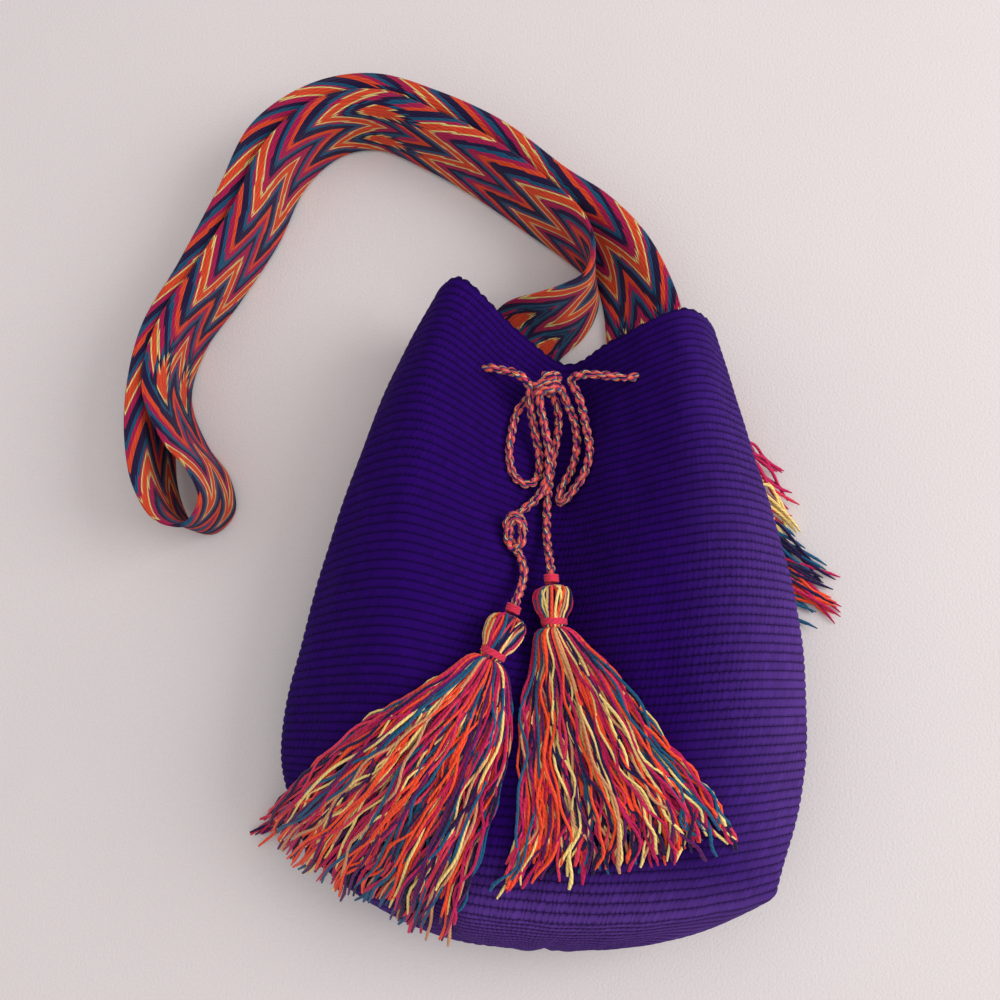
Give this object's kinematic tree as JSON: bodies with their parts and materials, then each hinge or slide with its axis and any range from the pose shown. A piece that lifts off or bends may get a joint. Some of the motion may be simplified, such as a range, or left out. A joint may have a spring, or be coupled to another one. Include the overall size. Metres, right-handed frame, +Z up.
{
  "type": "mochila shoulder bag",
  "caption": "Soft crocheted bucket bag lying flat, with a plaited shoulder strap and a tied drawstring that ends in yarn tassels.",
  "frame": {"origin": "On the surface under the bag, below the middle of the whole object without its drawstring and tassels", "axes": "+Y from the bag's base towards its mouth, +Z up from the surface it lies on, +X to the bag's right as it is seen from above"},
  "size_m": [0.2988, 0.3707, 0.0689],
  "materials": {
    "crochet": "matte crocheted acrylic yarn",
    "strap_yarn": "matte plaited acrylic yarn",
    "cord_yarn": "matte twisted acrylic yarn",
    "seam_yarn": "matte acrylic yarn",
    "tassel_yarn": "matte acrylic yarn",
    "tie_yarn": "matte acrylic yarn",
    "wrap_yarn": "matte acrylic yarn"
  },
  "bodies": {
    "root": {"bag_body": "crochet", "shoulder_strap": "strap_yarn", "drawstring": "cord_yarn", "strap_seam_right": "seam_yarn", "tassel_right": "tassel_yarn", "tassel_tie_right": "tie_yarn", "tassel_wrap_right": "wrap_yarn", "strap_seam_left": "seam_yarn", "tassel_left": "tassel_yarn", "tassel_tie_left": "tie_yarn", "tassel_wrap_left": "wrap_yarn"}
  },
  "joints": []
}
